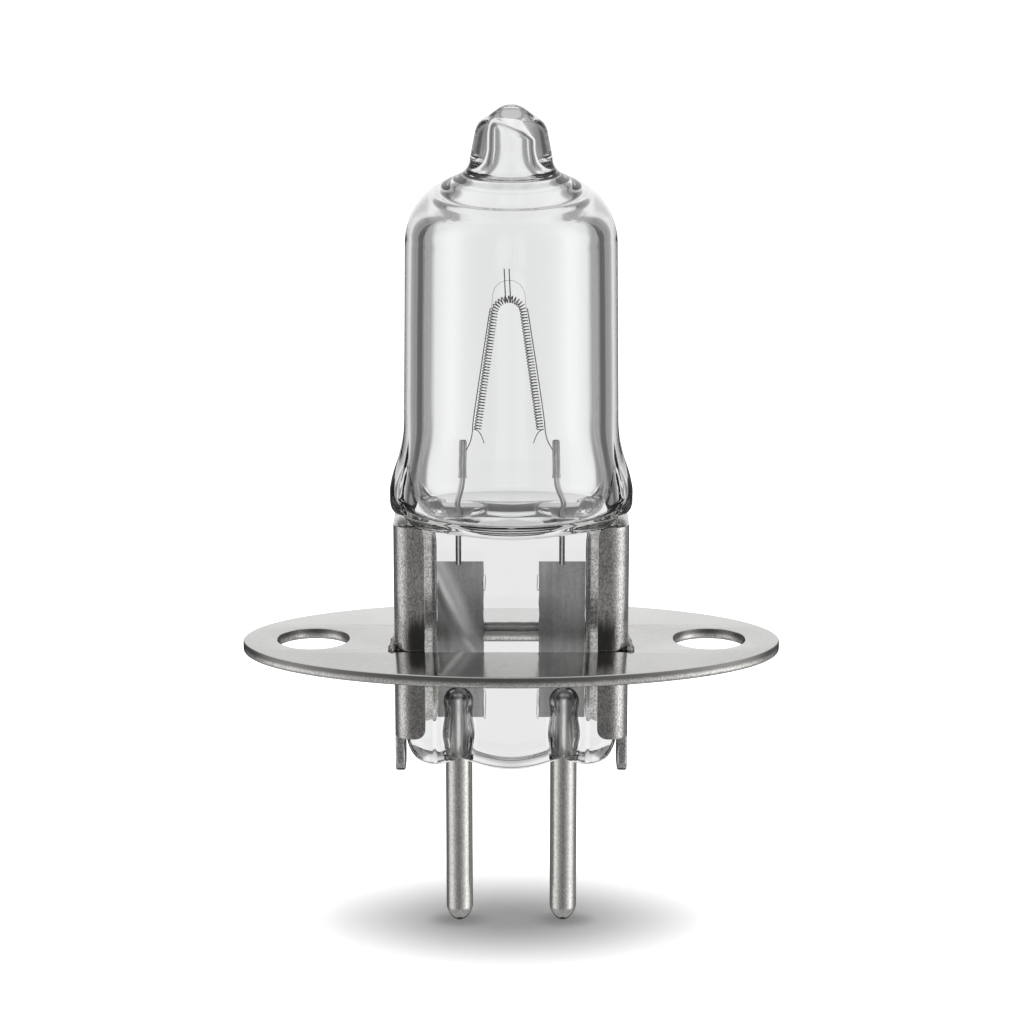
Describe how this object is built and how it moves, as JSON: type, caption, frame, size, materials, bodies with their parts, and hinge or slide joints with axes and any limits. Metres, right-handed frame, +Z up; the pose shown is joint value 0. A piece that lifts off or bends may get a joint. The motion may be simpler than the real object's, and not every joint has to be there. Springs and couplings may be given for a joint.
{
  "type": "halogen capsule bulb",
  "caption": "Clear quartz capsule bulb with a coiled filament, pressed seal, two contact pins and an oval screw-on mounting plate.",
  "frame": {"origin": "middle of the two screw holes, on the plate's seating face underneath", "axes": "+Z up along the bulb's axis towards the exhaust tip, X through both screw holes and both pins, -Y the front"},
  "size_m": [0.0203, 0.0098, 0.0315],
  "materials": {
    "quartz_glass": "clear, fire-polished",
    "plate_steel": "satin",
    "clip_steel": "rolled, fine grain",
    "weld_steel": "rough weld bead",
    "pin_nickel": "satin nickel plate",
    "lead_molybdenum": "drawn wire",
    "foil_molybdenum": "rolled foil, satin",
    "filament_tungsten": "drawn wire"
  },
  "bodies": {
    "root": {"quartz_envelope": "quartz_glass", "mounting_plate": "plate_steel", "seal_clip_left": "clip_steel", "seal_clip_right": "clip_steel", "tack_weld_left": "weld_steel", "tack_weld_right": "weld_steel", "contact_pin_left": "pin_nickel", "contact_pin_right": "pin_nickel", "outer_lead_left": "lead_molybdenum", "outer_lead_right": "lead_molybdenum", "sealing_foil_left": "foil_molybdenum", "sealing_foil_right": "foil_molybdenum", "inner_lead_left": "lead_molybdenum", "inner_lead_right": "lead_molybdenum", "post_sleeve_left": "lead_molybdenum", "post_sleeve_right": "lead_molybdenum", "filament_coil": "filament_tungsten", "side_wire_left": "filament_tungsten", "side_wire_right": "filament_tungsten", "hairline_loop": "filament_tungsten", "stay_wire_left": "filament_tungsten", "stay_wire_right": "filament_tungsten"}
  },
  "joints": []
}
